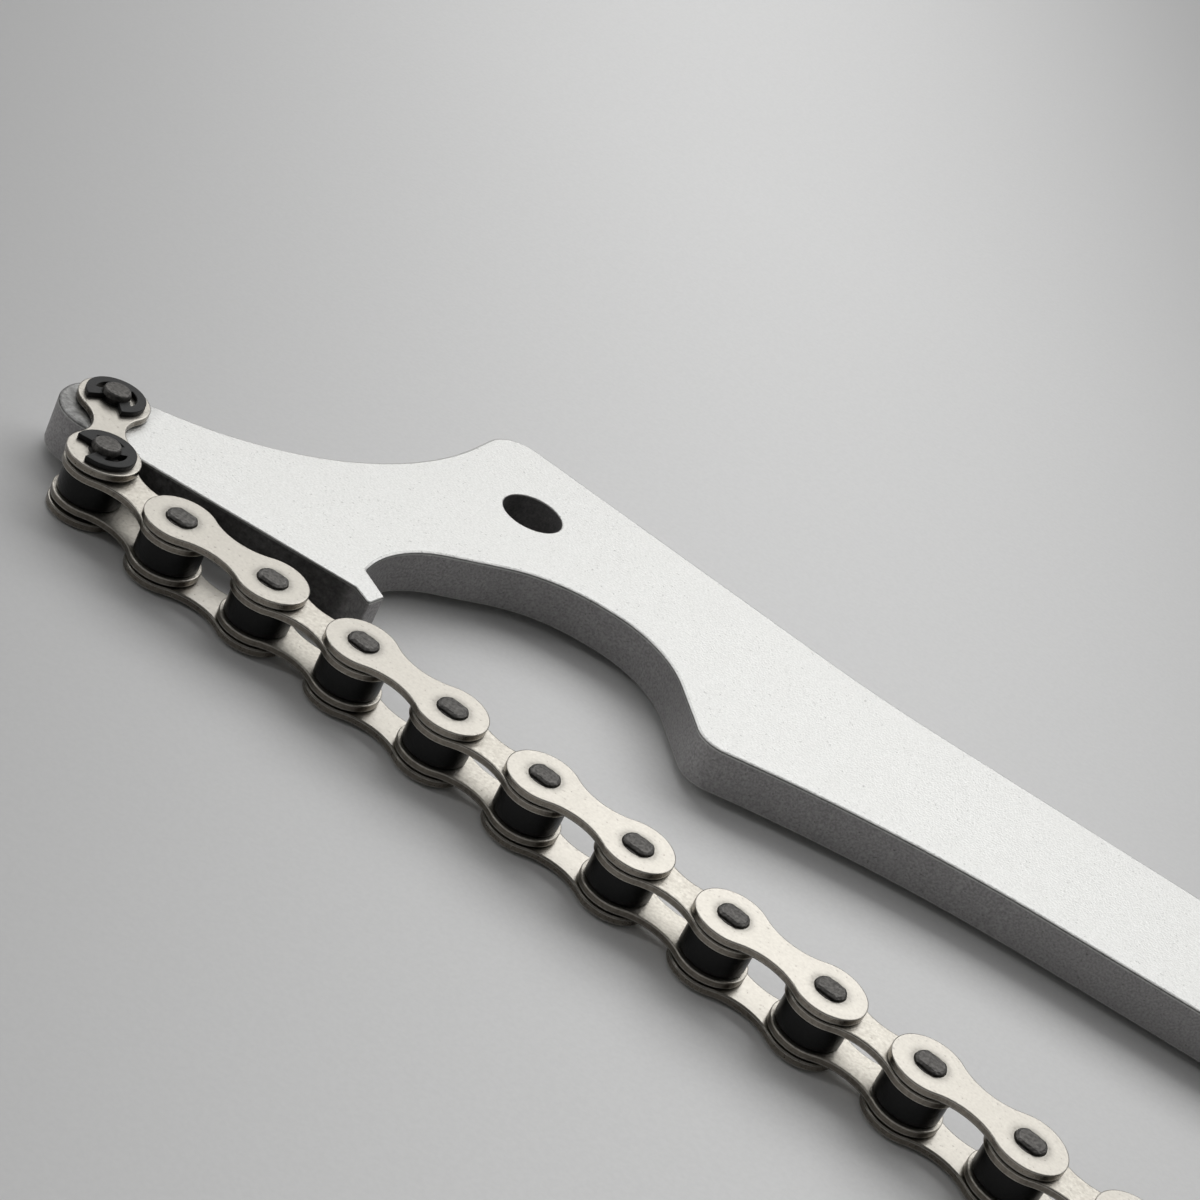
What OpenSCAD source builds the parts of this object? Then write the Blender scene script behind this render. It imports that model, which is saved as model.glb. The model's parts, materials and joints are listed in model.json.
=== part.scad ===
// Chain whip with a lockring hook: a flat bar handle, and a length of roller chain on its tip.
// Origin: centre of the hang hole, half way through the bar. +X runs along the grip, +Z is up.
// All sizes are in millimetres, all angles in degrees.

/* [Handle tip and arm] */
// Thickness of the whole bar
handle_t = 5.8; // [5:0.1:7]
// X of the chain's first pin, from the hang hole
tip_x = -44.8; // [-55:0.1:-38]
// Y of the chain's first pin, from the hang hole
tip_y = -30.7; // [-36:0.1:-27]
// Metal from the first pin's axis to the end of the tip
tip_end = 5.6; // [4:0.1:8]
// Metal from the first pin's axis up to the arm's upper edge
tip_above = 4.3; // [3.6:0.1:6]
// Corner radius of the tip beside the hook
tip_low_r = 5.6; // [2:0.1:7]
// Corner radius of the tip at the back
tip_high_r = 5; // [2:0.1:6]
// Rise of the arm's upper edge
arm_slope = 15.3; // [8:0.1:22]
// Rise of the straight edge between tip and hook
edge_slope = 1.3; // [0:0.1:4]
// Radius of the hollow between arm and hump
neck_r = 40; // [25:0.5:45]

/* [Handle hump and grip] */
// Diameter of the hang hole
hole_d = 8; // [5:0.1:10]
// X of the hump's corner
hump_x = -10.65; // [-14:0.05:-9]
// Y of the hump's corner
hump_y = 16; // [13:0.1:20]
// Lean of the hump's steep side from upright
hump_lean = 8; // [0:0.5:14]
// Corner radius of the hump
hump_r = 4.6; // [1:0.1:8]
// Fall of the back from the hump to the shoulder
back_slope = 10.3; // [8:0.1:14]
// Radius of the shoulder where the back flattens
shoulder_r = 140; // [60:5:200]
// Fall of the back from the shoulder to the grip
taper = 2.9; // [1.5:0.1:5]
// X where the grip's edges turn parallel
grip_x = 110; // [95:1:140]
// Radius of the bend where the grip begins
grip_blend_r = 200; // [50:10:400]
// Y of the grip's back edge
grip_back = 2.1; // [0:0.1:5]
// Width of the grip
grip_w = 22.7; // [18:0.1:28]
// X of the grip's far end
grip_reach = 250; // [180:1:300]
// Corner radius of the grip's far end
grip_end_r = 9; // [1:0.5:11]

/* [Lockring hook] */
// X of the heel, the corner between jaw and grip
heel_x = 34.6; // [31:0.1:42]
// Y of the heel
heel_y = -26.6; // [-30:0.1:-24]
// Corner radius of the heel
heel_r = 4; // [1:0.1:6]
// Rise of the front edge behind the heel
heel_slope = 14; // [8:0.5:20]
// Radius of the front edge between heel and grip
belly_r = 177; // [80:1:200]
// Slope of the jaw's side above the heel
heel_lean = 55; // [45:0.5:70]
// Y of the top of the jaw
jaw_top = -11.3; // [-14:0.1:-9]
// Radius of the jaw above the heel
jaw_heel_r = 15; // [8:0.1:18]
// Radius of the jaw's top
jaw_top_r = 19.5; // [10:0.1:22]
// Rise of the jaw from its root side to its top
jaw_ramp = 38; // [32:0.5:44]
// Y where the jaw's ramp leaves its root side
ramp_y = -24.2; // [-27:0.1:-22]
// Radius of the jaw at its root side
jaw_root_r = 14; // [8:0.1:18]
// X of the jaw's root side, behind the tooth
root_x = -8.5; // [-11:0.1:-7]
// Corner radius at the tooth's root
root_r = 0.9; // [0.3:0.1:1.5]
// X where the straight edge turns out to the tooth
flare_x = -7.6; // [-9:0.1:-6.5]
// Length of the flared edge along X
flare_run = 2.4; // [1.5:0.1:3.5]
// Depth of the flared edge below the straight edge
flare_drop = 1.5; // [0.5:0.1:2.5]
// Width of the tooth's end face
tooth_w = 2.9; // [1.5:0.1:4]
// Lean of the tooth's end face from upright
tooth_lean = 14; // [0:1:25]
// Fall of the tooth's inner edge
tooth_slope = 37; // [20:0.5:50]
// Corner radius of the tooth's end
tooth_r = 0.3; // [0.1:0.1:0.8]

/* [Chain] */
// Pitch between two pins
pitch = 12.7; // [12:0.1:14]
// Width between the inner plates
inner_w = 3.4; // [2.4:0.1:4.8]
// Thickness of every chain plate
plate_t = 0.95; // [0.7:0.05:1.3]
// End radius of an outer plate
outer_r = 4.4; // [3.8:0.05:4.8]
// Width of an outer plate's waist
outer_waist = 4.9; // [3:0.1:6]
// End radius of an inner plate
inner_r = 4.3; // [3.8:0.05:4.8]
// Width of an inner plate's waist
inner_waist = 4.5; // [3:0.1:6]
// Diameter of a roller
roller_d = 7.75; // [7:0.05:8.4]
// Diameter of every chain pin
pin_d = 3.6; // [3:0.05:4]
// Wall of the collars that carry a roller
collar_wall = 0.6; // [0.4:0.05:0.9]
// Height of a peened pin head
head_h = 0.45; // [0.2:0.05:0.8]
// Width across the flats of a peened pin head
head_w = 2.9; // [2:0.1:2.9]

/* [Anchor link] */
// Width of the anchor plates' waist
anchor_waist = 3.9; // [3:0.1:6]
// Diameter of the anchor pins' lower heads
anchor_head_d = 5; // [4.4:0.1:6]
// Height of the anchor pins' lower heads
anchor_head_h = 0.25; // [0.2:0.05:0.8]
// Height of the anchor pins above their clips
anchor_tip_h = 0.7; // [0.3:0.05:1.2]
// Diameter of the groove that a clip sits in
groove_d = 2.7; // [2:0.05:2.9]
// Outside diameter of a clip
clip_d = 7.3; // [6:0.1:8.4]
// Thickness of a clip
clip_t = 0.65; // [0.4:0.05:1]
// Width of a clip's outer band
clip_band = 1.15; // [0.7:0.05:1.5]
// Width of a clip's three prongs
prong_w = 1.7; // [1:0.1:2]
// Half angle of a clip's mouth
clip_mouth = 38; // [25:1:45]
// Direction in which the first clip's mouth opens
clip_1_turn = 272; // [0:1:359]
// Direction in which the second clip's mouth opens
clip_2_turn = 222; // [0:1:359]

/* [Clearances] */
// Radial running clearance of pins in bores and rollers on collars
run_gap = 0.05; // [0.02:0.01:0.1]
// Side clearance between inner and outer plates
link_gap = 0.2; // [0.08:0.01:0.3]
// Side clearance of a roller between its plates
roller_gap = 0.1; // [0.05:0.01:0.3]
// Gap between the two collars that meet inside a roller
collar_split = 0.4; // [0.1:0.05:1]
// Side clearance of the handle between the anchor plates
handle_gap = 0.15; // [0.05:0.01:0.3]
// Clearance between the handle's straight edge and the first inner link
edge_gap = 0.25; // [0.15:0.05:0.6]
// Seat clearance of parts that are pressed or clipped together
seat_gap = 0.01; // [0.005:0.005:0.03]

/* [Hidden] */
$fn = 48;
// Depth by which an arc in an outline passes the line or arc that it meets, so that they cross
overcut = 0.002;
// Direction of each link as the chain lies beside the handle, from the tip outwards
lay = [-64.5, -14, -4.5, -6, -9.5, -8.5, -9, -9.5, -10, -9.5, -12, -11.5, -11, -10.5, -10, -10];
links = len(lay);
inner_links = links / 2;
outer_links = inner_links - 1;

// Heights of the layers, from the chain's middle plane
inner_z = inner_w / 2;
outer_z = inner_z + plate_t + link_gap;
outer_top = outer_z + plate_t;
// The anchor plates are as far apart as the bar needs
anchor_z = max(outer_z, handle_t / 2 + handle_gap);
anchor_top = anchor_z + plate_t;

pin_bore = pin_d + 2 * run_gap;
pin_seat = pin_d + 2 * seat_gap;
collar_d = pin_bore + 2 * collar_wall;
collar_len = (inner_w - collar_split) / 2;
roller_bore = collar_d + 2 * run_gap;
roller_len = inner_w - 2 * roller_gap;

// Metal from the first pin's axis down to the straight edge, which clears the first inner link
tip_below = pitch * (cos(lay[0]) * tan(edge_slope) - sin(lay[0])) - (inner_r + edge_gap) / cos(edge_slope);

// Place of pin i, counted from 0 at the handle's tip
function pin_at(i) =
    i == 0 ? [tip_x, tip_y] : pin_at(i - 1) + pitch * [cos(lay[i - 1]), sin(lay[i - 1])];

// Crossing of a line through p at angle a with a line through q at angle b
function meet(p, a, q, b) =
    let (t = ((q.x - p.x) * sin(b) - (q.y - p.y) * cos(b)) / sin(b - a))
    p + t * [cos(a), sin(a)];

// Signed turn from direction u to direction v
function turn(u, v) = atan2(u.x * v.y - u.y * v.x, u * v);

// Arc of every corner [point, radius], as large as its two edges have room for:
// [corner, start, centre, end, radius], the radius negative where the outline turns inwards
function arcs(corners) =
    let (
        n = len(corners),
        point = [for (c = corners) c[0]],
        edge = [for (i = [0:n - 1]) point[(i + 1) % n] - point[i]],
        way = [for (e = edge) e / norm(e)],
        bend = [for (i = [0:n - 1]) turn(way[(i + n - 1) % n], way[i])],
        want = [for (i = [0:n - 1]) corners[i][1] * tan(abs(bend[i]) / 2)],
        room = [for (i = [0:n - 1]) min(1, norm(edge[i]) / (want[i] + want[(i + 1) % n]))]
    )
    [for (i = [0:n - 1])
        let (
            before = way[(i + n - 1) % n],
            share = min(room[i], room[(i + n - 1) % n]),
            start = point[i] - before * want[i] * share,
            r = corners[i][1] * share * sign(bend[i]),
            middle = start + r * [-before.y, before.x],
            centre = middle + overcut * (point[i] - middle) / norm(point[i] - middle)
        )
        [point[i], start, centre, point[i] + way[i] * want[i] * share, r]];

// Corners of the handle, counter-clockwise from the tip, beside the hook
function handle_corners() =
    let (
        edge = [tip_x, tip_y - tip_below],
        arm = [tip_x, tip_y + tip_above],
        end = [tip_x - tip_end, tip_y],
        hump = [hump_x, hump_y],
        grip = [grip_x, grip_back],
        front = grip_back - grip_w,
        heel = [heel_x, heel_y],
        top = [0, jaw_top],
        ramp = [root_x, ramp_y],
        flare = meet(edge, edge_slope, [flare_x, 0], 90),
        tooth_low = flare + [flare_run, -flare_drop],
        tooth_high = tooth_low + tooth_w * [sin(tooth_lean), cos(tooth_lean)]
    )
    [
        [meet(edge, edge_slope, end, 90), tip_low_r],
        [flare, tooth_r],
        [tooth_low, tooth_r],
        [tooth_high, tooth_r],
        [meet(tooth_high, -tooth_slope, ramp, 90), root_r],
        [ramp, jaw_root_r],
        [meet(ramp, jaw_ramp, top, 0), jaw_top_r],
        [meet(heel, -heel_lean, top, 0), jaw_heel_r],
        [heel, heel_r],
        [meet(heel, heel_slope, [grip_x, front], 0), belly_r],
        [[grip_reach, front], grip_end_r],
        [[grip_reach, grip_back], grip_end_r],
        [grip, grip_blend_r],
        [meet(hump, -back_slope, grip, -taper), shoulder_r],
        [hump, hump_r],
        [meet(arm, arm_slope, hump, 90 - hump_lean), neck_r],
        [meet(arm, arm_slope, end, 90), tip_high_r]
    ];

// Puts its children on link i, with X from pin i towards the next pin
module on_link(i) {
    translate(pin_at(i))
        rotate(lay[i])
            children();
}

// Repeats its children at both pins of a link
module both_ends() {
    for (x = [0, pitch])
        translate([x, 0])
            children();
}

// Flat shape of a chain plate: two round ends joined by a hollow-sided waist
module plate_shape(end_r, waist) {
    half = pitch / 2;
    hollow_r = (half * half + waist * waist / 4 - end_r * end_r) / (2 * end_r - waist);
    hollow_y = waist / 2 + hollow_r;
    side_y = hollow_y * end_r / (end_r + hollow_r);
    both_ends()
        circle(end_r);
    difference() {
        translate([0, -side_y])
            square([pitch, 2 * side_y]);
        for (side = [-1, 1])
            translate([half, side * hollow_y])
                circle(hollow_r + overcut);
    }
}

// Outer plate with two press seats for its pins, lying from height z upwards
module outer_plate(z, waist) {
    translate([0, 0, z])
        difference() {
            linear_extrude(plate_t)
                plate_shape(outer_r, waist);
            both_ends()
                translate([0, 0, -plate_t])
                    cylinder(h = 3 * plate_t, d = pin_seat);
        }
}

// Inner plate with its two collars; the collars point to the chain's middle plane
module inner_plate() {
    difference() {
        union() {
            translate([0, 0, inner_z])
                linear_extrude(plate_t)
                    plate_shape(inner_r, inner_waist);
            both_ends()
                translate([0, 0, inner_z - collar_len])
                    cylinder(h = collar_len + plate_t, d = collar_d);
        }
        both_ends()
            cylinder(h = outer_z, d = pin_bore);
    }
}

// Pin of an outer link, with a peened head that has two flats at each end
module link_pin() {
    cylinder(h = 2 * outer_top, d = pin_d, center = true);
    intersection() {
        cylinder(h = 2 * (outer_top + head_h), d = pin_d, center = true);
        cube([2 * pin_d, head_w, 3 * outer_top], center = true);
    }
}

// Anchor pin: lower head, shank, groove for the clip, and tip
module anchor_pin() {
    groove_h = clip_t + 2 * seat_gap;
    translate([0, 0, -anchor_top - anchor_head_h])
        cylinder(h = anchor_head_h - seat_gap, d = anchor_head_d);
    translate([0, 0, -anchor_top - anchor_head_h])
        cylinder(h = 2 * anchor_top + anchor_head_h, d = pin_d);
    translate([0, 0, anchor_top - plate_t / 2])
        cylinder(h = plate_t / 2 + groove_h, d = groove_d);
    translate([0, 0, anchor_top + groove_h])
        cylinder(h = anchor_tip_h, d = pin_d);
}

// Flat clip with an open mouth towards +X and three prongs that reach into the groove:
// one opposite the mouth, and one at each end of the band
module clip_shape() {
    reach = clip_d;
    end_prong = clip_mouth + 0.8 * asin(prong_w / (clip_d - 2 * clip_band));
    mouth = reach * [cos(clip_mouth), -sin(clip_mouth)];
    difference() {
        circle(d = clip_d);
        difference() {
            circle(d = clip_d - 2 * clip_band);
            for (a = [-end_prong, end_prong, 180])
                rotate(a)
                    translate([0, -prong_w / 2])
                        square([reach, prong_w]);
        }
        circle(d = groove_d + 2 * seat_gap);
        polygon([[0, 0], mouth, [mouth.x, -mouth.y]]);
    }
}

// Circle of a corner, kept little wider than its arc
module corner_circle(arc) {
    out = arc[0] - (arc[1] + arc[3]) / 2;
    chord = arc[3] - arc[1];
    wider = 2 * sqrt(2 * abs(arc[4]) * overcut) * chord / norm(chord);
    start = arc[1] - wider;
    end = arc[3] + wider;
    left = sign(arc[4]) * out;
    intersection() {
        translate(arc[2])
            circle(abs(arc[4]));
        polygon([start + left, end + left, end - left, start - left]);
    }
}

// Flat shape of the handle: straight lines between the arcs, filled where the outline turns out
module handle_shape() {
    corner_arcs = arcs(handle_corners());
    difference() {
        union() {
            polygon([for (arc = corner_arcs) each [arc[1], arc[3]]]);
            for (arc = corner_arcs)
                if (arc[4] > 0)
                    corner_circle(arc);
        }
        for (arc = corner_arcs)
            if (arc[4] < 0)
                corner_circle(arc);
    }
}

module handle() {
    color("gainsboro")
        difference() {
            linear_extrude(handle_t, center = true)
                handle_shape();
            cylinder(h = 2 * handle_t, d = hole_d, center = true);
            translate(pin_at(0))
                cylinder(h = 2 * handle_t, d = pin_bore, center = true);
        }
}

module anchor_plate_top() {
    color("lightgray")
        on_link(0)
            outer_plate(anchor_z, anchor_waist);
}

module anchor_plate_bottom() {
    color("lightgray")
        on_link(0)
            outer_plate(-anchor_top, anchor_waist);
}

module anchor_pins() {
    color("dimgray")
        on_link(0)
            both_ends()
                anchor_pin();
}

module e_clips() {
    turns = [clip_1_turn, clip_2_turn];
    color("black")
        for (i = [0, 1])
            translate([pin_at(i).x, pin_at(i).y, anchor_top + seat_gap])
                rotate(turns[i])
                    linear_extrude(clip_t)
                        clip_shape();
}

module inner_plate_top(k) {
    color("lightgray")
        on_link(2 * k - 1)
            inner_plate();
}

module inner_plate_bottom(k) {
    color("lightgray")
        on_link(2 * k - 1)
            mirror([0, 0, 1])
                inner_plate();
}

module roller(k) {
    color("black")
        translate(pin_at(k))
            difference() {
                cylinder(h = roller_len, d = roller_d, center = true);
                cylinder(h = 2 * roller_len, d = roller_bore, center = true);
            }
}

module outer_plate_top(k) {
    color("lightgray")
        on_link(2 * k)
            outer_plate(outer_z, outer_waist);
}

module outer_plate_bottom(k) {
    color("lightgray")
        on_link(2 * k)
            outer_plate(-outer_top, outer_waist);
}

module link_pins(k) {
    color("dimgray")
        on_link(2 * k)
            both_ends()
                link_pin();
}

handle();
anchor_plate_top();
anchor_plate_bottom();
anchor_pins();
e_clips();
for (k = [1:inner_links]) {
    inner_plate_top(k);
    inner_plate_bottom(k);
}
for (k = [1:2 * inner_links]) {
    roller(k);
}
for (k = [1:outer_links]) {
    outer_plate_top(k);
    outer_plate_bottom(k);
    link_pins(k);
}
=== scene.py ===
# %% [markdown]
# # Chain whip with a lockring hook
# A chain whip holds a bicycle sprocket still while its lockring is turned. It is a flat steel bar with a hook
# cut into its front edge, and a length of half-inch roller chain hinged to its tip. The bar is cut from plate
# and blasted to a satin grey, the chain is nickel plated, and its rollers and retaining clips are black.
# Lengths are written in millimetres, as on a drawing, and become metres where a mesh is made.

# %% Load the part
import json
import math

import bmesh
import bpy
from mathutils import Matrix, Quaternion, Vector


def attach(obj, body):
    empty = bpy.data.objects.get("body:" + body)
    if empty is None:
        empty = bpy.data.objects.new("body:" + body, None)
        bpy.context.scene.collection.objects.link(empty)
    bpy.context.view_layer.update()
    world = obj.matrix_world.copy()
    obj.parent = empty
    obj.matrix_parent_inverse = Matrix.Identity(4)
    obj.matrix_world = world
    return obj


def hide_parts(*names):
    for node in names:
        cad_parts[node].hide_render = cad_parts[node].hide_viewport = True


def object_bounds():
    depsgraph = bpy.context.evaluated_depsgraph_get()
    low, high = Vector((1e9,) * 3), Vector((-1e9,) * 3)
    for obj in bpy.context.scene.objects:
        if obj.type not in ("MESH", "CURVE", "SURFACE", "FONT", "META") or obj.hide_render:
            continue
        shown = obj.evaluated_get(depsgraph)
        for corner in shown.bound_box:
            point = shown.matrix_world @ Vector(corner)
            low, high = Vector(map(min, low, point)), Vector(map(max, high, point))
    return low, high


MM = 0.001
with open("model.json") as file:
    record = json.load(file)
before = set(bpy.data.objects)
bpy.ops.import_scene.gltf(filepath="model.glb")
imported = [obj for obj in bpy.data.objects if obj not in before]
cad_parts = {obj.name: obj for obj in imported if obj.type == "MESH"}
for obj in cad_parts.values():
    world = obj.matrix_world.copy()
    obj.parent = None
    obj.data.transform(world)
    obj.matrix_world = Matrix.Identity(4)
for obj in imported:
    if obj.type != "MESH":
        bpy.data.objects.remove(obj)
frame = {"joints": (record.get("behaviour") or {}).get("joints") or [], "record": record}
scene = bpy.context.scene
cad_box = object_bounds()
print("CAD box in mm:", [[round(v / MM, 2) for v in corner] for corner in cad_box])

# %% [markdown]
# ## Where the links lie
# Every hinge of the chain sits on a pin, so the joints of the part give the pins in order from the bar's tip,
# and the bore left open at the chain's end gives the last one. A link reaches from one pin to the next, half an
# inch on. Reading the places from the part, rather than writing them again, keeps the two together.

# %% Pins and headings
LINKS = 16
joint_at = {joint["name"]: Vector(joint["pos_m"]) for joint in frame["joints"]}
mount_at = {mount["name"]: Vector(mount["pos_m"]) for mount in frame["record"]["mounts"]}
hinges = ["tip_hinge"] + [f"link_hinge_{n}" for n in range(1, LINKS)]
pins = [joint_at[name] for name in hinges] + [mount_at["chain_end"]]
headings = [math.atan2(b.y - a.y, b.x - a.x) for a, b in zip(pins, pins[1:])]
PITCH = (pins[1] - pins[0]).length / MM
print(len(headings), "links, pitch", round(PITCH, 3), "mm")

# %% [markdown]
# The tool is built in layers on both sides of a middle plane: the inner plates, the outer plates over them, and
# the plates of the anchor link, which stand a little further apart to take the bar between them. A plate is
# placed by the height of its inner face.

# %% Heights of the layers
SHEET = 0.95
BAR = 2.9
INNER, OUTER, ANCHOR = 1.7, 2.85, 3.05
OUTER_TOP, ANCHOR_TOP = OUTER + SHEET, ANCHOR + SHEET
print("outer faces at", INNER + SHEET, OUTER_TOP, ANCHOR_TOP, "mm")

# %% [markdown]
# ## Outlines
# The bar, the plates and the clips are all cut or stamped from sheet, and their outlines are straight lines and
# arcs. A curve object could draw them, but plain points can be set in by an exact width for the edges. An arc
# becomes chords that stay within four micrometres of it. Outlines are walked with the metal on the left:
# counter-clockwise round a piece and clockwise round a hole in it.

# %% Arcs, holes and rounded corners
CHORD_ERROR = 0.004


def arc(centre, radius, start, end):
    """Points along an arc from one angle to another."""
    step = 2 * math.acos(1 - CHORD_ERROR / radius)
    count = max(2, math.ceil(abs(end - start) / step))
    angles = [start + (end - start) * k / count for k in range(count + 1)]
    return [Vector((centre[0] + radius * math.cos(a), centre[1] + radius * math.sin(a))) for a in angles]


def hole(centre, radius):
    """A full circle, walked clockwise."""
    return arc(centre, radius, 0, -2 * math.pi)[:-1]


def rounded(corners):
    """A closed outline of (x, y, radius) corners in which every corner is an arc."""
    points = []
    for before, here, after in zip(corners[-1:] + corners[:-1], corners, corners[1:] + corners[:1]):
        corner = Vector(here[:2])
        into = (corner - Vector(before[:2])).normalized()
        out = (Vector(after[:2]) - corner).normalized()
        turn = math.atan2(into.cross(out), into.dot(out))
        start = corner - into * here[2] * math.tan(abs(turn) / 2)
        spoke = Vector((into.y, -into.x)) * math.copysign(here[2], turn)
        angle = math.atan2(spoke.y, spoke.x)
        points += arc(start - spoke, here[2], angle, angle + turn)
    return points


# %% [markdown]
# ## Slabs with eased edges
# A blasted or tumbled edge is never sharp: it is a small chamfer with softened corners that catches a line of
# light or dark. A Bevel modifier could ease it too. Here a slab is built as rings of points round its outline,
# along the upper face, over the edge, down the wall and back under, because the sizes then stay exact and each
# point can keep two numbers for the finish: how far it belongs to the cut wall, and how much darkening lies on
# it, as residue and painted shade. The darkening also paints dark lines along the bar's chamfers as painted
# reflection, and painted shade in the seams between the plates.

# %% Rings over an edge
# Inset and drop as shares of the easing, and how strongly a painted dark line shows there
EDGE_PROFILE = (
    (1.12, 0, 0), (1, 0, 0), (0.93, 0.01, 1), (0.84, 0.04, 0),
    (0.22, 0.25, 0), (0.12, 0.37, 1), (0.04, 0.6, 0.5), (0, 1, 0),
)
WALL_BLEND = 0.06


def edge(top, bottom, ease, residue=(), painted_lines=(0.0, 0.0), lower=None, painted_wall_shade=0.0):
    """Rings of (inset, height, wall, residue and painted shade) from the upper face to the lower face of a
    slab.
    """
    near = residue[-1][1] if residue else 0.0

    # A ring takes a painted dark line where one is asked for: painted reflection along the bar's chamfers,
    # painted shade in the plates' seams.
    def rim(face, size, way, line):
        rings = [(size * inset, face - way * size * drop, 0.0, max(near, line * mark))
                 for inset, drop, mark in EDGE_PROFILE]
        return rings + [(0.0, face - way * (size + WALL_BLEND), 1.0, max(near, painted_wall_shade))]

    over = [(inset, top, 0.0, amount) for inset, amount in residue]
    over += rim(top, ease, 1, painted_lines[0])
    under = [(inset, bottom, 0.0, amount) for inset, amount in residue]
    under += rim(bottom, lower or ease, -1, painted_lines[1])
    return over + under[::-1]


print("rings over an upper and a lower edge:", len(edge(1.0, 0.0, 0.1)))

# %% Slab builder
SAME_POINT = 1e-4


def closed_mesh(name, bm, sharp=40):
    """Turns finished bmesh work into a smooth-shaded mesh with its faces outward."""
    bmesh.ops.recalc_face_normals(bm, faces=bm.faces)
    mesh = bpy.data.meshes.new(name)
    bm.to_mesh(mesh)
    bm.free()
    mesh.shade_smooth()
    mesh.set_sharp_from_angle(angle=math.radians(sharp))
    return mesh


def slab(name, *loops):
    """One closed solid. Each loop is (points, rings, factor of the inset at a point)."""
    bm = bmesh.new()
    wall_layer = bm.verts.layers.float.new("wall")
    residue_and_shade_layer = bm.verts.layers.float.new("residue")
    lids = [], []
    for points, rings, factor in loops:
        points = [p for i, p in enumerate(points) if (p - points[i - 1]).length > SAME_POINT]
        after = points[1:] + points[:1]
        ahead = [(b - a).normalized() for a, b in zip(points, after)]
        levels = []
        for inset, z, wall, amount in rings:
            level = []
            for i, point in enumerate(points):
                a, b = ahead[i - 1], ahead[i]
                left = Vector((-a.y - b.y, a.x + b.x)) / (1 + a.dot(b))
                place = (point + left * inset * factor(point)) * MM
                vertex = bm.verts.new((place.x, place.y, z * MM))
                vertex[wall_layer], vertex[residue_and_shade_layer] = wall, amount
                level.append(vertex)
            levels.append(level)
        for upper, lower in zip(levels, levels[1:]):
            for a, b, c, d in zip(upper, lower, lower[1:] + lower[:1], upper[1:] + upper[:1]):
                bm.faces.new((a, b, c, d))
        for lid, level in zip(lids, (levels[0], levels[-1])):
            lid += [bm.edges.get(pair) for pair in zip(level, level[1:] + level[:1])]
    for lid, up in zip(lids, (1, -1)):
        bmesh.ops.triangle_fill(bm, edges=lid, use_beauty=True, normal=(0, 0, up))
    return closed_mesh(name, bm)


def even(point):
    """The same inset everywhere."""
    return 1.0


# %% [markdown]
# ## Finishes
# Metal is seen by what it mirrors, so each finish is mostly a roughness and a grain. A picture could carry the
# grain, but noise in the object's own coordinates has no seams and can be as fine as real blasting or tumbling
# marks. It moves the colour, the roughness and the surface a little. Cut walls have a colour and a roughness of
# their own, rougher than the face on the bar and smoother on the plates. Residue and painted shade darken the
# metal round the pins, and painted shade darkens the bar's tip and its wall beside the chain.

# %% Material helpers
def add(tree, kind, inputs=None, **settings):
    """A node with its settings and inputs; an input is a number, a colour or another node's output."""
    made = tree.nodes.new(kind)
    for name, value in settings.items():
        setattr(made, name, value)
    for name, value in (inputs or {}).items():
        if isinstance(value, bpy.types.NodeSocket):
            tree.links.new(value, made.inputs[name])
        else:
            made.inputs[name].default_value = value
    return made


def noise(tree, where, scale, detail=3.0, low=0.0, high=1.0, span=(0.3, 0.7)):
    """Noise of so many lumps a metre, spread between two values."""
    texture = add(tree, "ShaderNodeTexNoise", {"Vector": where, "Scale": scale, "Detail": detail})
    limits = {"From Min": span[0], "From Max": span[1], "To Min": low, "To Max": high}
    spread = add(tree, "ShaderNodeMapRange", {"Value": texture.outputs["Fac"], **limits})
    return spread.outputs["Result"]


def blend(tree, factor, first, second):
    """Two colours mixed by a factor."""
    mixed = add(tree, "ShaderNodeMix", data_type="RGBA")
    sockets = mixed.inputs[0], mixed.inputs[6], mixed.inputs[7]
    for socket, value in zip(sockets, (factor, first, second)):
        if isinstance(value, bpy.types.NodeSocket):
            tree.links.new(value, socket)
        else:
            socket.default_value = value if isinstance(value, float) else (*value, 1)
    return mixed.outputs[2]


# %% One rule for every metal
# The dark colour for the specks, and for residue and painted shade.
SOOT_AND_SHADE = 0.08
CLOUD_SCALE, MOTTLE_SCALE = 900.0, 1300.0
RELIEF_DEPTH = 0.00006


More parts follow.
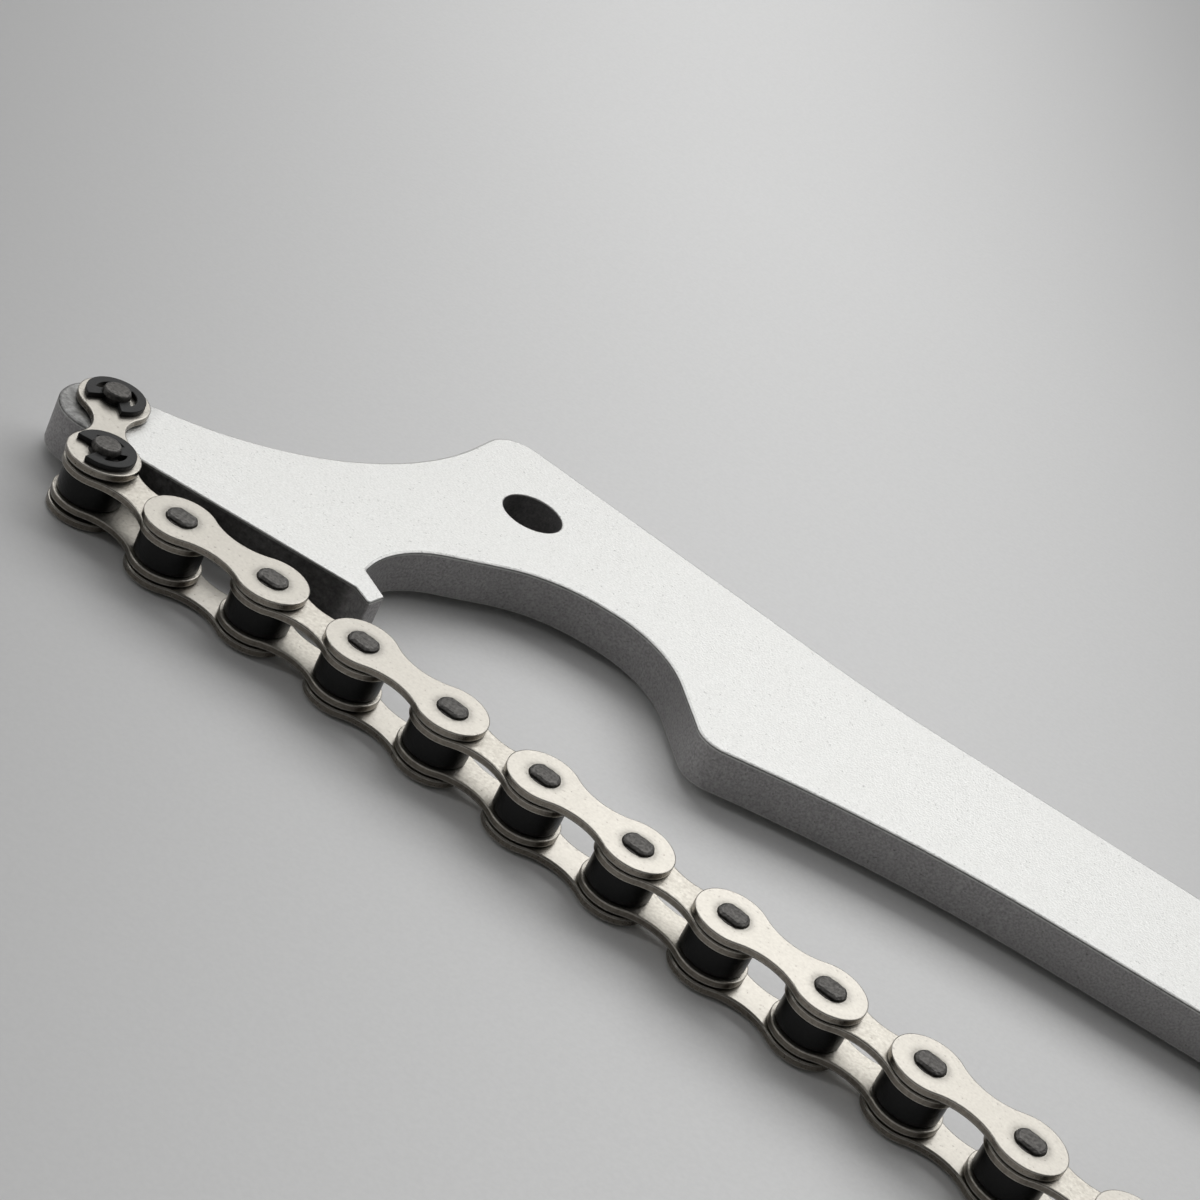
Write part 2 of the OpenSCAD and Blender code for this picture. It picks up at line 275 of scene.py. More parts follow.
def metal(name, light, dark, wall_colours, rough, wall_rough, grain, bump, metallic=1.0, speck=None, shine=0.5):
    """A finish with grain, its own cut walls, residue with painted shade and, where asked, sparse dark specks.
    """
    material = bpy.data.materials.new(name)
    material.use_nodes = True
    tree = material.node_tree
    shader = tree.nodes["Principled BSDF"]
    shader.inputs["Metallic"].default_value = metallic
    shader.inputs["Specular IOR Level"].default_value = shine
    where = add(tree, "ShaderNodeTexCoord").outputs["Object"]
    wall = add(tree, "ShaderNodeAttribute", attribute_name="wall").outputs["Fac"]
    residue = add(tree, "ShaderNodeAttribute", attribute_name="residue").outputs["Fac"]
    fine = noise(tree, where, grain, detail=2.0)
    soot_and_shade = tuple(SOOT_AND_SHADE * v for v in light)
    colour = blend(tree, fine, light, dark)
    colour = blend(tree, wall, colour, blend(tree, fine, *wall_colours))
    if speck:
        spot = noise(tree, where, speck, detail=1.0, span=(0.70, 0.76), high=0.35)
        colour = blend(tree, spot, colour, soot_and_shade)
    # Residue and painted shade, broken into patches by a mottle, darken the colour towards that dark.
    mottle = noise(tree, where, MOTTLE_SCALE, low=0.65)
    patchy = add(tree, "ShaderNodeMath", {0: residue, 1: mottle}, operation="MULTIPLY")
    colour = blend(tree, patchy.outputs[0], colour, soot_and_shade)
    tree.links.new(colour, shader.inputs["Base Color"])
    gloss = add(tree, "ShaderNodeMapRange", {"Value": wall, "To Min": rough, "To Max": wall_rough})
    cloud = noise(tree, where, CLOUD_SCALE, detail=4.0, high=0.03)
    worn = add(tree, "ShaderNodeMath", {0: gloss.outputs["Result"], 1: cloud}, operation="ADD")
    tree.links.new(worn.outputs[0], shader.inputs["Roughness"])
    relief = add(tree, "ShaderNodeBump", {"Height": fine, "Strength": bump, "Distance": RELIEF_DEPTH})
    tree.links.new(relief.outputs["Normal"], shader.inputs["Normal"])
    return material


# %% [markdown]
# Blasted steel is an even satin with a grain of about a quarter millimetre and a few dark specks. Nickel is
# warmer and smoother; the inner plates have been tumbled rougher than the outer ones. Rollers and clips are
# blackened, and the pins are hardened steel, left dark, with peened heads.

# %% The six finishes
# The bar's cut walls are darker than its face: partly a darker cut finish, partly painted shade.
steel = metal(
    "blasted_steel", (0.63, 0.63, 0.615), (0.545, 0.545, 0.531),
    ((0.46, 0.45, 0.45), (0.305, 0.298, 0.298)),
    rough=0.5, wall_rough=0.62, grain=3400.0, bump=0.35, speck=2600.0)
outer_nickel = metal(
    "outer_nickel", (0.42, 0.4, 0.36), (0.373, 0.354, 0.318),
    ((0.27, 0.243, 0.208), (0.19, 0.169, 0.143)),
    rough=0.34, wall_rough=0.26, grain=2600.0, bump=0.12, speck=2600.0)
inner_nickel = metal(
    "inner_nickel", (0.51, 0.487, 0.436), (0.387, 0.364, 0.322),
    ((0.25, 0.226, 0.194), (0.17, 0.151, 0.127)),
    rough=0.40, wall_rough=0.28, grain=2400.0, bump=0.25, speck=2200.0)
roller_black = metal(
    "roller_black", (0.006, 0.0059, 0.0058), (0.004, 0.004, 0.004),
    ((0.006, 0.006, 0.006), (0.004, 0.004, 0.004)),
    rough=0.32, wall_rough=0.32, grain=2800.0, bump=0.2, metallic=0.0, shine=0.2)
pin_steel = metal(
    "pin_steel", (0.125, 0.12, 0.113), (0.06, 0.057, 0.054),
    ((0.13, 0.125, 0.12), (0.085, 0.082, 0.078)),
    rough=0.5, wall_rough=0.4, grain=2600.0, bump=0.7)
clip_black = metal(
    "clip_black", (0.009, 0.009, 0.0086), (0.006, 0.006, 0.006),
    ((0.009, 0.009, 0.009), (0.006, 0.006, 0.006)),
    rough=0.58, wall_rough=0.5, grain=2600.0, bump=0.25, metallic=0.0, shine=0.38)
finishes = steel, outer_nickel, inner_nickel, roller_black, pin_steel, clip_black
print("finishes:", [finish.name for finish in finishes])

# %% [markdown]
# ## The bar
# The bar is one piece of 5.8 mm plate: a narrow arm to the chain's tip, a hollow back that runs up to a hump
# over the hang hole, the hook's tooth and wide jaw in the front edge, and the straight grip. Its upper edges
# are eased by 0.36 mm, less at the tooth, whose corners are smaller than that; the lower edges are crisper.

# %% Bar
BAR_CORNERS = [
    (-7.6, -36.8916, 0.3), (-5.2, -38.3916, 0.3), (-4.4984, -35.5777, 0.3), (-8.5, -32.5623, 0.9),
    (-8.5, -24.2, 14), (8.0112, -11.3, 19.5), (23.8868, -11.3, 15), (34.6, -26.6, 4),
    (58.6647, -20.6, 177), (250, -20.6, 9), (250, 2.1, 9), (110, 2.1, 200), (48.7683, 5.2019, 140),
    (-10.65, 15.99, 4.6), (-15.4817, -18.3794, 40), (-50.4, -27.932, 5), (-50.4, -37.8628, 5.6),
]
UPPER_EASE, LOWER_EASE = 0.36, 0.12
HANG_HOLE_R, HANG_HOLE_EASE = 4.0, 0.2
TIP_HOLE_R, TIP_HOLE_EASE = 1.85, 0.15
TOOTH = Vector((-5.8, -36.9))
TOOTH_SHARE, TOOTH_NEAR, TOOTH_FADE = 0.35, 3.0, 4.0
tip = pins[0].to_2d() / MM


def clamp(value):
    """Keeps a number between nothing and one."""
    return min(1.0, max(0.0, value))


def eased(point):
    """Full easing along the bar, and a third of it round the tooth."""
    return TOOTH_SHARE + (1 - TOOTH_SHARE) * clamp(((point - TOOTH).length - TOOTH_NEAR) / TOOTH_FADE)


bar = slab(
    "bar",
    # The bar's chamfers carry painted dark lines: painted reflection.
    (rounded(BAR_CORNERS), edge(BAR, -BAR, UPPER_EASE, painted_lines=(0.9, 0.9), lower=LOWER_EASE), eased),
    # The hang hole's wall is darkened as painted shade.
    (hole((0, 0), HANG_HOLE_R), edge(BAR, -BAR, HANG_HOLE_EASE, painted_wall_shade=0.5), even),
    (hole(tip, TIP_HOLE_R), edge(BAR, -BAR, TIP_HOLE_EASE), even),
)
print("bar:", len(bar.polygons), "faces")

# %% [markdown]
# The tip's top is darkened as painted shade under and beside the anchor link, and so is the wall beside the
# chain. A painted picture could show that, but the slab's points already carry darkening, so more of it is
# written there. The long faces are first cut across where that darkening changes, to give it points to change
# on.

# %% Painted shade on the bar
CUTS = -48, -46, -44, -42, -40, -24, -9
# Painted shade on the tip's top and on the arm's wall beside the chain.
TIP_PAINTED_SHADE, TIP_SHADE_DEPTH, TIP_SHADE_REACH = 0.82, 0.3, 4.5
ARM_WALL_PAINTED_SHADE, SHADED_WALL_TOP_Y, SHADED_WALL_END_X = 0.8, -34, -8
PAINTED_SHADE_FADE = 4


def bar_painted_shade(point):
    """Painted shade at a point of the bar: on its tip's top round the anchor link, and on the wall beside the
    chain.
    """
    if point.z > BAR - TIP_SHADE_DEPTH:
        return TIP_PAINTED_SHADE * clamp((tip.x + TIP_SHADE_REACH - point.x) / PAINTED_SHADE_FADE)
    if point.y > SHADED_WALL_TOP_Y or point.x > SHADED_WALL_END_X:
        return 0.0
    return ARM_WALL_PAINTED_SHADE * clamp((point.x - tip.x) / PAINTED_SHADE_FADE)


def piece(mesh, material, body, slot, *nodes):
    """Shows a finished mesh in place of its CAD nodes, moving with one body."""
    if not mesh.materials:
        mesh.materials.append(material)
    made = bpy.data.objects.new(mesh.name, mesh)
    scene.collection.objects.link(made)
    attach(made, body)
    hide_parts(*nodes)


work = bmesh.new()
work.from_mesh(bar)
residue_and_shade_layer = work.verts.layers.float["residue"]
for x in CUTS:
    everything = work.verts[:] + work.edges[:] + work.faces[:]
    bmesh.ops.bisect_plane(work, geom=everything, plane_co=(x * MM, 0, 0), plane_no=(1, 0, 0))
for vertex in work.verts:
    vertex[residue_and_shade_layer] = max(vertex[residue_and_shade_layer], bar_painted_shade(vertex.co / MM))
work.to_mesh(bar)
work.free()
piece(bar, steel, "handle", "handle_steel", "handle")
print("bar, cut for its residue:", len(bar.polygons), "faces")

# %% [markdown]
# ## Plates, pins and clips
# A plate is stamped with two round ends and hollow sides. A dark line of painted shade is drawn in the seam
# where an outer plate lies over an inner one, and round each pin the plates are darkened by oil and painted
# shade. The collars that carry the rollers are pressed out of the inner plates, so the rim of each hole runs on
# down a short tube, darkened as painted shade inside the roller. One of each piece is made here, at the origin,
# and repeated along the chain afterwards.

# %% Plates
FACE_EASE, SEAM_EASE = 0.14, 0.2
HOLE_EASE = 0.1
# Darkening round each hole, by inset from it: oil and painted shade round the pins.
HOLE_OIL_AND_SHADE = (1.2, 0.0), (0.7, 0.12), (0.3, 0.45)
COLLAR_LENGTH, COLLAR_WALL, COLLAR_FOOT = 1.5, 0.6, 0.8


def plate_outline(end_r, waist):
    """Two round ends a pitch apart, joined by hollow sides."""
    half = PITCH / 2
    hollow_r = (half**2 + waist**2 / 4 - end_r**2) / (2 * end_r - waist)
    hollow_y = waist / 2 + hollow_r
    lean = math.atan2(hollow_y, half)
    right = arc((PITCH, 0), end_r, lean - math.pi, math.pi - lean)
    back = arc((half, hollow_y), hollow_r, -lean, lean - math.pi)
    left = arc((0, 0), end_r, lean, 2 * math.pi - lean)
    front = arc((half, -hollow_y), hollow_r, math.pi - lean, lean)
    return right + back[1:-1] + left + front[1:-1]


def plate(name, end_r, waist, bore, collar=0.0):
    """A stamped plate, lying on its inner face, with a collar of the given length at each hole."""
    ring = edge(SHEET, 0.0, HOLE_EASE, residue=HOLE_OIL_AND_SHADE)
    # The face towards the other plate gets a painted dark line in the seam: painted shade between the plates.
    if collar:
        rim = edge(SHEET, 0.0, SEAM_EASE, painted_lines=(1.0, 0.0), lower=FACE_EASE)
        # The collar's wall and foot are darkened as painted shade inside the roller.
        ring = ring[:len(ring) // 2] + [
            (0.0, -collar, 1.0, 0.6), (COLLAR_WALL, -collar, 1.0, 0.6),
            (COLLAR_WALL, 0.0, 0.0, 0.6), (COLLAR_FOOT, 0.0, 0.0, 0.15),
        ]
    else:
        rim = edge(SHEET, 0.0, FACE_EASE, painted_lines=(0.0, 1.0), lower=SEAM_EASE)
    holes = [(hole((x, 0), bore), ring, even) for x in (0, PITCH)]
    return slab(name, (plate_outline(end_r, waist), rim, even), *holes)


sources = {
    "outer": plate("outer_plate", end_r=4.4, waist=4.9, bore=1.81),
    "anchor": plate("anchor_plate", end_r=4.4, waist=3.9, bore=1.81),
    "inner": plate("inner_plate", end_r=4.3, waist=4.5, bore=1.85, collar=COLLAR_LENGTH),
}
print("plates:", {name: len(mesh.polygons) for name, mesh in sources.items()}, "faces")

# %% [markdown]
# Pins are turned, so they are rings of points up an axis. The ends of a link's pins are peened over two flats.
# The anchor's pins have a low round head below, and above the plate a groove for the clip and a tapered tip.

# %% Turned pins
SIDES = 48
# Rise above the plate, radius, width across the flats, wear
PEENED = (
    (0.0, 1.8, 3.6, 0.0), (0.002, 1.8, 2.9, 0.0), (0.21, 1.8, 2.9, 0.0), (0.24, 1.78, 2.86, 1.0),
    (0.27, 1.74, 2.78, 0.2), (0.41, 1.5, 2.3, 0.2), (0.435, 1.44, 2.2, 1.0), (0.45, 1.36, 2.06, 0.0),
)
# Distance from the plate, radius, wear
ROUND_HEAD = (
    (0.25, 2.2, 0.0), (0.24, 2.3, 1.0), (0.15, 2.48, 1.0), (0.12, 2.5, 0.0), (0.03, 2.5, 0.0),
    (0.01, 1.8, 0.0),
)
GROOVED_TIP = (
    (-0.01, 1.8, 0.0), (0.01, 1.35, 0.0), (0.67, 1.35, 0.0), (0.68, 1.76, 0.0), (0.95, 1.72, 0.0),
    (1.2, 1.62, 0.0), (1.26, 1.58, 1.0), (1.34, 1.48, 0.3), (1.36, 1.44, 1.0), (1.37, 1.36, 0.0),
)


def turned(name, rings):
    """A pin from (height, radius, width across its flats, wear) rings, bottom to top, closed at both ends."""
    bm = bmesh.new()
    wall_layer = bm.verts.layers.float.new("wall")
    levels = []
    for z, radius, flats, wear in rings:
        level = []
        for k in range(SIDES):
            a = math.radians(360 / SIDES * k)
            y = max(-flats / 2, min(flats / 2, radius * math.sin(a)))
            level.append(bm.verts.new((radius * math.cos(a) * MM, y * MM, z * MM)))
            level[-1][wall_layer] = wear
        levels.append(level)
    for lower, upper in zip(levels, levels[1:]):
        for a, b, c, d in zip(lower, lower[1:] + lower[:1], upper[1:] + upper[:1], upper):
            bm.faces.new((a, b, c, d))
    bm.faces.new(levels[0][::-1])
    bm.faces.new(levels[-1])
    return closed_mesh(name, bm, sharp=30)


head = [(OUTER_TOP + rise, radius, flats, wear) for rise, radius, flats, wear in PEENED]
foot = [(-z, radius, flats, wear) for z, radius, flats, wear in reversed(head)]
sources["pin"] = turned("peened_pin", foot + head)
grooved = [(-ANCHOR_TOP - drop, radius, 2 * radius, wear) for drop, radius, wear in ROUND_HEAD]
grooved += [(ANCHOR_TOP + rise, radius, 2 * radius, wear) for rise, radius, wear in GROOVED_TIP]
sources["anchor_pin"] = turned("anchor_pin", grooved)
print("pins:", [len(sources[name].polygons) for name in ("pin", "anchor_pin")], "faces")

# %% [markdown]
# A retaining clip is stamped from thin spring steel as an open ring. Three prongs reach in to the groove of the
# pin, and the clip is pushed on sideways through its mouth. It is one more outline for the slab builder.

# %% Retaining clip
CLIP_BOTTOM, CLIP_TOP, CLIP_EASE = 0.01, 0.66, 0.1


def clip_outline(outer, inner, groove, prong, mouth):
    """An open ring with its mouth on +X and three prongs towards the pin: two at its ends, one opposite."""
    on_ring, at_tip = math.asin(prong / 2 / inner), math.asin(prong / 2 / groove)
    last = mouth + 0.8 * on_ring
    points = arc((0, 0), outer, mouth, 2 * math.pi - mouth)
    points += arc((0, 0), groove, 2 * math.pi - mouth, 2 * math.pi - last - at_tip)
    points += arc((0, 0), inner, 2 * math.pi - last - on_ring, math.pi + on_ring)
    points += arc((0, 0), groove, math.pi + at_tip, math.pi - at_tip)
    points += arc((0, 0), inner, math.pi - on_ring, last + on_ring)
    return points + arc((0, 0), groove, last + at_tip, mouth)


clip_points = clip_outline(outer=3.65, inner=2.5, groove=1.36, prong=1.7, mouth=math.radians(38))
clip_rings = edge(ANCHOR_TOP + CLIP_TOP, ANCHOR_TOP + CLIP_BOTTOM, CLIP_EASE)
sources["clip"] = slab("clip", (clip_points, clip_rings, even))
print("clip:", len(sources["clip"].polygons), "faces")

# %% [markdown]
# ## A rule that repeats a piece on a link
# All links are built alike: two plates face to face, two pins a pitch apart. Copies could be placed by hand
# in a loop, but a node tree states the rule once: it places a number of copies along a step, each turned a
# little more than the one before, and carries them to the link's pin and heading. The lower plate is turned
# half over, never mirrored, so its outer face is down and its faces still point outward.

# %% Tree that repeats a piece
def new_tree(name, inputs):
    """A geometry node tree with named inputs; returns it with its two end nodes."""
    tree = bpy.data.node_groups.new(name, "GeometryNodeTree")
    tree.interface.new_socket("Geometry", in_out="OUTPUT", socket_type="NodeSocketGeometry")
    for title, kind in [("Geometry", "Geometry")] + inputs:
        tree.interface.new_socket(title, in_out="INPUT", socket_type="NodeSocket" + kind)
    return tree, add(tree, "NodeGroupInput").outputs, add(tree, "NodeGroupOutput").inputs


def finish_tree(tree, geometry, finish, result):
    """Ends a tree: real geometry instead of instances, with its material set."""
    whole = add(tree, "GeometryNodeRealizeInstances", {"Geometry": geometry})
    dressed = add(tree, "GeometryNodeSetMaterial", {"Geometry": whole.outputs[0], "Material": finish})
    tree.links.new(dressed.outputs[0], result["Geometry"])
    print("tree", tree.name, "has", len(tree.nodes), "nodes")


repeat, given, result = new_tree("repeat_on_link", [
    ("Part", "Object"), ("Copies", "Int"), ("First", "Vector"), ("Step", "Vector"),
    ("First turn", "Vector"), ("Next turn", "Vector"), ("Pin", "Vector"), ("Heading", "Float"),
    ("Finish", "Material"),
])
line = add(repeat, "GeometryNodeMeshLine", {
    "Count": given["Copies"], "Start Location": given["First"], "Offset": given["Step"],
})
index = add(repeat, "GeometryNodeInputIndex").outputs["Index"]
more = add(repeat, "ShaderNodeVectorMath", {0: given["Next turn"], "Scale": index}, operation="SCALE")
turn = add(repeat, "ShaderNodeVectorMath", {0: given["First turn"], 1: more.outputs[0]}, operation="ADD")
part = add(repeat, "GeometryNodeObjectInfo", {"Object": given["Part"]})
copies = add(repeat, "GeometryNodeInstanceOnPoints", {
    "Points": line.outputs[0], "Instance": part.outputs["Geometry"],
    "Rotation": add(repeat, "FunctionNodeEulerToRotation", {0: turn.outputs[0]}).outputs[0],
})
about_z = add(repeat, "ShaderNodeCombineXYZ", {"Z": given["Heading"]})
laid = add(repeat, "GeometryNodeTransform", {
    "Geometry": copies.outputs[0], "Translation": given["Pin"],
    "Rotation": add(repeat, "FunctionNodeEulerToRotation", {0: about_z.outputs[0]}).outputs[0],
})
finish_tree(repeat, laid.outputs[0], given["Finish"], result)


# %% Running a tree
def grow(name, tree, **values):
    """Runs a tree with the given inputs and returns what it made as a plain mesh."""
    carrier = bpy.data.objects.new("carrier", bpy.data.meshes.new("carrier"))
    scene.collection.objects.link(carrier)
    run = carrier.modifiers.new("run", "NODES")
    run.node_group = tree
    for item in tree.interface.items_tree:
        key = item.name.lower().replace(" ", "_")
        if item.in_out == "INPUT" and key in values:
            run[item.identifier] = values[key]
    graph = bpy.context.evaluated_depsgraph_get()
    mesh = bpy.data.meshes.new_from_object(carrier.evaluated_get(graph), depsgraph=graph)
    mesh.name = name
    bpy.data.objects.remove(carrier)
    return mesh


# %% [markdown]
# ## Rollers
# A roller is a short turned sleeve. It could be cut from a cylinder, but a second tree sweeps a rectangle with
# filleted corners round a circle, which is how a lathe makes one and gives the rounded corners at once.

# %% Tree that turns a sleeve
sleeve, given, result = new_tree("turned_sleeve", [
    ("Middle radius", "Float"), ("Wall", "Float"), ("Length", "Float"), ("Corner", "Float"),
    ("Pin", "Vector"), ("Finish", "Material"),
])
path = add(sleeve, "GeometryNodeCurvePrimitiveCircle", {
    "Resolution": 64, "Radius": given["Middle radius"],
})
section = add(sleeve, "GeometryNodeCurvePrimitiveQuadrilateral", {
    "Width": given["Wall"], "Height": given["Length"],
})
filleted = add(sleeve, "GeometryNodeFilletCurve", {
    "Curve": section.outputs[0], "Radius": given["Corner"], "Count": 4,
}, mode="POLY")
swept = add(sleeve, "GeometryNodeCurveToMesh", {
    "Curve": path.outputs[0], "Profile Curve": filleted.outputs[0],
})
moved = add(sleeve, "GeometryNodeTransform", {"Geometry": swept.outputs[0], "Translation": given["Pin"]})
finish_tree(sleeve, moved.outputs[0], given["Finish"], result)

# %% Rollers
ROLLER_R, ROLLER_BORE_R = 3.875, 2.5
ROLLER_LENGTH, ROLLER_CORNER = 3.2, 0.25
roller_sizes = {
    "middle_radius": (ROLLER_R + ROLLER_BORE_R) / 2 * MM, "wall": (ROLLER_R - ROLLER_BORE_R) * MM,
    "length": ROLLER_LENGTH * MM, "corner": ROLLER_CORNER * MM,
}
for n in range(1, LINKS + 1):
    ring = grow(f"roller_ring_{n}", sleeve, pin=pins[n], finish=roller_black, **roller_sizes)
    ring.shade_smooth()
    piece(ring, roller_black, f"roller_{n}", "roller_black", f"roller_{n}")
spans = [[v.co[k] / MM for v in ring.vertices] for k in range(3)]
print("rollers:", len(ring.polygons), "faces each, size", [round(max(s) - min(s), 2) for s in spans], "mm")

# %% [markdown]
# ## The chain
# Inner links carry the rollers on their collars; outer links hold the pins. The first link is the anchor: its
# plates have a thin waist, its upper pin goes through the bar's tip, and both its pins are held by black clips
# in grooves. The tree makes one mesh for each kind of piece on each link.

# %% Plates and pins of the links
parts = {}
for name, mesh in sources.items():
    parts[name] = bpy.data.objects.new("source_" + name, mesh)
    scene.collection.objects.link(parts[name])


def pair(name, part, link, height, finish):
    """Two plates of a link, face to face at a height above and below the middle plane."""
    return grow(name, repeat, part=parts[part], copies=2, first=(0, 0, height * MM),
                step=(0, 0, -2 * height * MM), next_turn=(math.pi, 0, 0), pin=pins[link],
                heading=headings[link], finish=finish)


def pin_pair(name, part, link):
    """The two pins of a link, a pitch apart."""
    return grow(name, repeat, part=parts[part], copies=2, step=(PITCH * MM, 0, 0), pin=pins[link],
                heading=headings[link], finish=pin_steel)


for k in range(1, LINKS // 2 + 1):
    plates = pair(f"inner_plates_{k}", "inner", 2 * k - 1, INNER, inner_nickel)
    piece(plates, inner_nickel, f"inner_link_{k}", "inner_plate_nickel",
          f"inner_plate_top_{k}", f"inner_plate_bottom_{k}")
for k in range(1, LINKS // 2):
    plates = pair(f"outer_plates_{k}", "outer", 2 * k, OUTER, outer_nickel)
    piece(plates, outer_nickel, f"outer_link_{k}", "outer_plate_nickel",
          f"outer_plate_top_{k}", f"outer_plate_bottom_{k}")
    two_pins = pin_pair(f"peened_pins_{k}", "pin", 2 * k)
    piece(two_pins, pin_steel, f"outer_link_{k}", "pin_steel", f"link_pins_{k}")
print("chain:", LINKS, "links,", len(two_pins.polygons), "faces in a pair of pins")

# %% Anchor link
MOUTHS = math.radians(272), math.radians(222)
plates = pair("anchor_plates", "anchor", 0, ANCHOR, outer_nickel)
piece(plates, outer_nickel, "anchor_link", "outer_plate_nickel", "anchor_plate_top", "anchor_plate_bottom")
two_pins = pin_pair("grooved_pins", "anchor_pin", 0)
piece(two_pins, pin_steel, "anchor_link", "pin_steel", "anchor_pins")
two_clips = grow("retaining_clips", repeat, part=parts["clip"], copies=2, step=(PITCH * MM, 0, 0),
                 pin=pins[0], heading=headings[0], first_turn=(0, 0, MOUTHS[0] - headings[0]),
                 next_turn=(0, 0, MOUTHS[1] - MOUTHS[0]), finish=clip_black)
piece(two_clips, clip_black, "anchor_link", "clip_black", "e_clips")
for source in parts.values():
    bpy.data.objects.remove(source)
print("anchor:", len(two_pins.polygons), "faces in its pins,", len(two_clips.polygons), "in its clips")

# %% [markdown]
# ## Floor, light and camera
# The tool lies on its pin heads on a pale satin board. Its colour is painted darker towards its sides and
# front,
# leaving a lighter band down the middle: painted shade and light that stand in for the light falling off there.
# Less light there could shade it too, but would darken the tool.

# %% Floor
FLOOR_R = 4.0
# The lighter middle band and the darker sides and front are painted light and shade on the board.
PAINTED_LIGHT_ACROSS, PAINTED_LIGHT_MIDDLE, PAINTED_LIGHT_HALF_WIDTH = (0.933, 0.361, 0.0), 0.038, 0.19
BOARD_COLOURS = (0.88, 0.88, 0.875), (0.915, 0.915, 0.91)
SIDE_PAINTED_SHADE, FRONT_PAINTED_SHADE = (0.41, 0.41, 0.41), (0.3, 0.3, 0.3)
FRONT_Y, BACK_Y, FRONT_SHADE_SHARE = -0.15, 0.15, 0.2
floor_finish = bpy.data.materials.new("pale_board")
floor_finish.use_nodes = True
tree = floor_finish.node_tree
shader = tree.nodes["Principled BSDF"]
shader.inputs["Roughness"].default_value = 0.5
shader.inputs["Specular IOR Level"].default_value = 0.12
where = add(tree, "ShaderNodeTexCoord").outputs["Object"]
across = add(tree, "ShaderNodeVectorMath", {0: where, 1: PAINTED_LIGHT_ACROSS}, operation="DOT_PRODUCT")
aside = add(tree, "ShaderNodeMath", {0: across.outputs["Value"], 1: PAINTED_LIGHT_MIDDLE}, operation="SUBTRACT")
aside = add(tree, "ShaderNodeMath", {0: aside.outputs[0]}, operation="ABSOLUTE")
side_painted_shade = add(tree, "ShaderNodeMapRange", {
    "Value": aside.outputs[0], "From Min": 0.0, "From Max": PAINTED_LIGHT_HALF_WIDTH, "To Min": 0.0, "To Max": 1.0,
}, interpolation_type="SMOOTHSTEP")
depth = add(tree, "ShaderNodeSeparateXYZ", {0: where}).outputs["Y"]
# front: the painted shade towards the front of the board.
front = add(tree, "ShaderNodeMapRange", {
    "Value": depth, "From Min": FRONT_Y, "From Max": BACK_Y, "To Min": FRONT_SHADE_SHARE, "To Max": 0.0,
})
colour = blend(tree, noise(tree, where, 1800.0, detail=2.0), *BOARD_COLOURS)
colour = blend(tree, side_painted_shade.outputs["Result"], colour, SIDE_PAINTED_SHADE)
colour = blend(tree, front.outputs["Result"], colour, FRONT_PAINTED_SHADE)
tree.links.new(colour, shader.inputs["Base Color"])
bm = bmesh.new()
under_part = Matrix.Translation((0, 0, cad_box[0].z))
bmesh.ops.create_circle(bm, cap_ends=True, radius=FLOOR_R, segments=96, matrix=under_part)
floor = bpy.data.objects.new("floor", closed_mesh("floor", bm))
if floor.data.polygons[0].normal.z < 0:
    floor.data.flip_normals()
floor.data.materials.append(floor_finish)
scene.collection.objects.link(floor)
print("floor:", FLOOR_R, "m in radius, at", round(cad_box[0].z / MM, 2), "mm")

# %% [markdown]
# Large soft lights stand behind the tool, low enough that the camera sees them mirrored in every upper face.
# The room in front is dim, which keeps the walls towards the camera dark, and a narrow strip at the left draws
# a line of light along edges that face that way.

# %% Light
MIDDLE = Vector((30, -25, 0)) * MM
# Azimuth and elevation in degrees, distance, width and height in metres, watts
LAMPS = {
    "key": (96, 47.5, 3.0, 6.5, 2.0, 83.0),
    "low_panel": (95, 29, 2.9, 3.0, 0.9, 2.0),
    "low_core": (92, 31, 2.8, 0.6, 0.8, 2.6),
    "overhead": (96, 70, 3.0, 3.0, 1.0, 5.0),
    "front_strip": (278, 60, 1.2, 0.9, 0.2, 0.12),
    "left_strip": (200, 25, 0.9, 0.1, 0.5, 0.9),
}


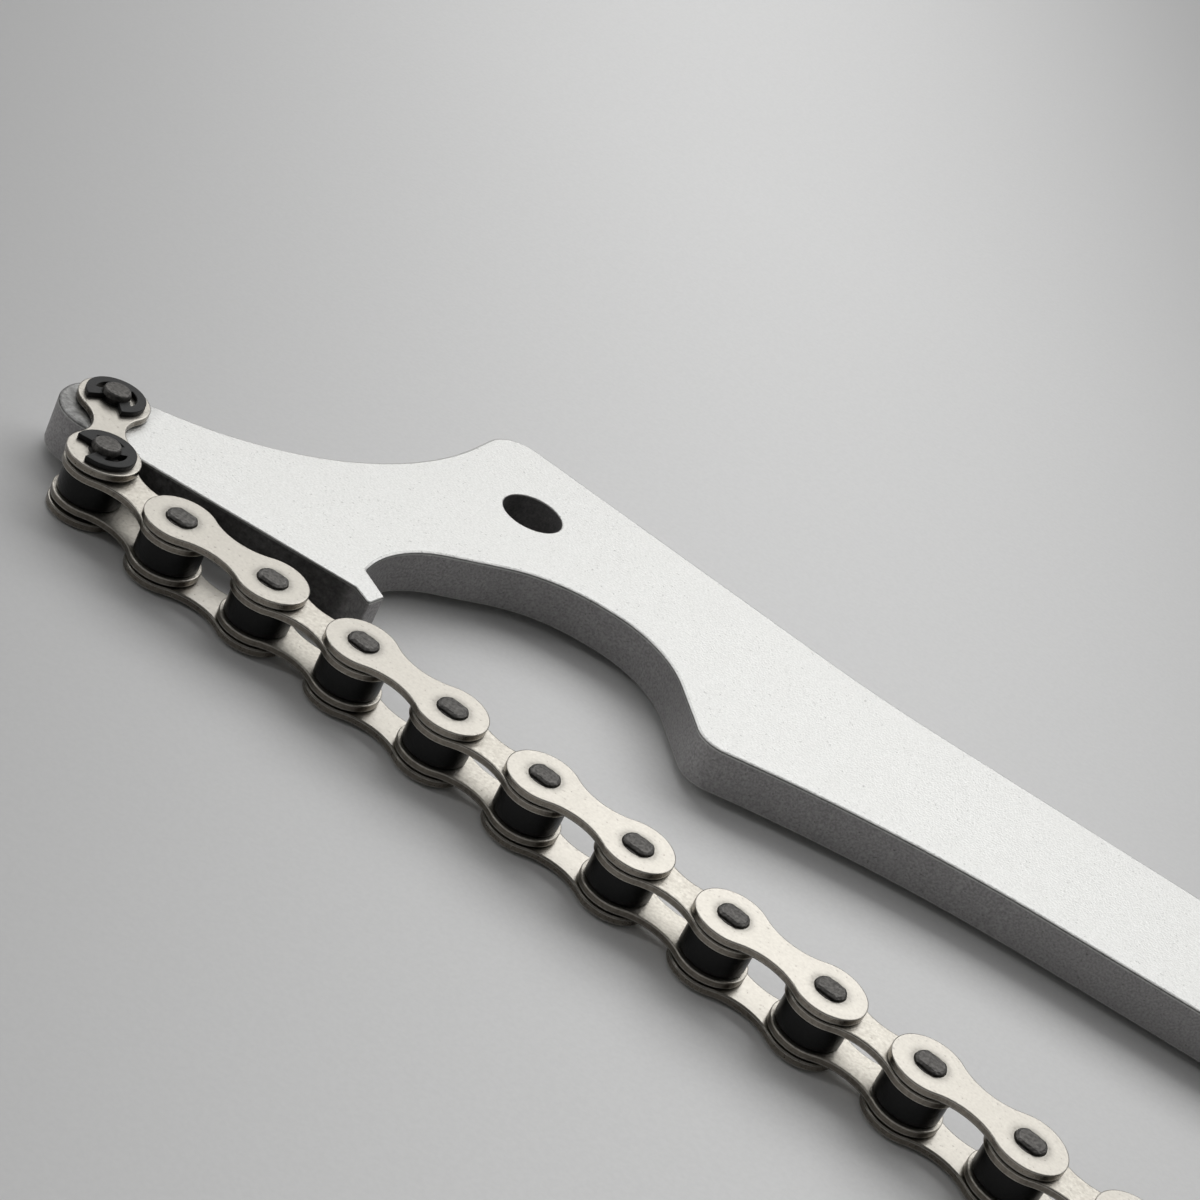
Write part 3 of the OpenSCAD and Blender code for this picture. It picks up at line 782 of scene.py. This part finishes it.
def soft_light(name, azimuth, elevation, distance, width, height, watts):
    """A rectangular soft light that faces the part's middle."""
    lamp = bpy.data.lights.new(name, "AREA")
    lamp.shape, lamp.size, lamp.size_y, lamp.energy = "RECTANGLE", width, height, watts
    az, el = math.radians(azimuth), math.radians(elevation)
    away = Vector((math.cos(az) * math.cos(el), math.sin(az) * math.cos(el), math.sin(el)))
    held = bpy.data.objects.new(name, lamp)
    held.matrix_world = Matrix.LocRotScale(MIDDLE + away * distance, away.to_track_quat("Z", "Y"), None)
    scene.collection.objects.link(held)


for name, settings in LAMPS.items():
    soft_light(name, *settings)
print(len(LAMPS), "soft lights")

# %% Room
ROOM_FRONT, ROOM_BACK = 0.12, 0.2
world = bpy.data.worlds.new("dim_room")
world.use_nodes = True
tree = world.node_tree
background = tree.nodes["Background"]
background.inputs["Color"].default_value = (1, 1, 1, 1)
way = add(tree, "ShaderNodeSeparateXYZ", {0: add(tree, "ShaderNodeTexCoord").outputs["Generated"]})
level = add(tree, "ShaderNodeMapRange", {
    "Value": way.outputs["Y"], "From Min": -1.0, "From Max": 1.0, "To Min": ROOM_FRONT, "To Max": ROOM_BACK,
})
tree.links.new(level.outputs["Result"], background.inputs["Strength"])
scene.world = world
scene.view_settings.view_transform = "Standard"
print("room light from", ROOM_FRONT, "in front to", ROOM_BACK, "behind")

# %% [markdown]
# The camera stands about 34 cm off, looks down at 29 degrees and is rolled 27 degrees, so that the bar crosses
# the picture from upper left to lower right.

# %% Camera
SENSOR, LENS, ROLL, NEAREST = 36.0, 83.89, 26.9, 0.01
spot, aim = Vector((57.15, -302.66, 164.95)) * MM, Vector((13.246, -5.342, 0.2)) * MM
lens = bpy.data.cameras.new("camera")
lens.sensor_width, lens.lens, lens.clip_start = SENSOR, LENS, NEAREST
camera = bpy.data.objects.new("camera", lens)
level_view = (aim - spot).to_track_quat("-Z", "Y")
rolled_view = level_view @ Quaternion((0, 0, 1), math.radians(ROLL))
camera.matrix_world = Matrix.LocRotScale(spot, rolled_view, None)
scene.collection.objects.link(camera)
scene.camera = camera
print("camera:", round((aim - spot).length / MM), "mm from where it aims")
